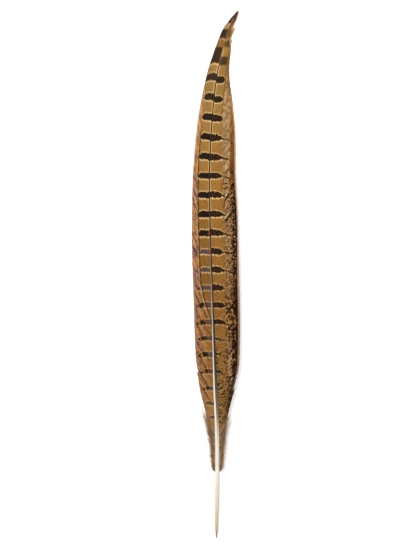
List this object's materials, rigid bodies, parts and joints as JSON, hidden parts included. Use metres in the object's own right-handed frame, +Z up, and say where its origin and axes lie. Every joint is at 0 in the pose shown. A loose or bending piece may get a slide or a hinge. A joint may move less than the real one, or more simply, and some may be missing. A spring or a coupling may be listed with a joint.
{
  "type": "pheasant tail feather",
  "caption": "Long pointed tail feather of a cock pheasant, lying flat: pale quill, tapering curved shaft and two slender vanes crossed by dark bars.",
  "frame": {"origin": "on the surface the feather lies on, under the middle of its bounding box", "axes": "+Y runs from the quill's end to the tip, +X is the wider vane's side, +Z is up, out of the barred upper face"},
  "size_m": [0.046, 0.5003, 0.0113],
  "materials": {
    "feather": "golden-brown vane with dark brown cross bars, ivory quill, soft satin sheen"
  },
  "bodies": {
    "root": {"feather": "feather"}
  },
  "joints": []
}
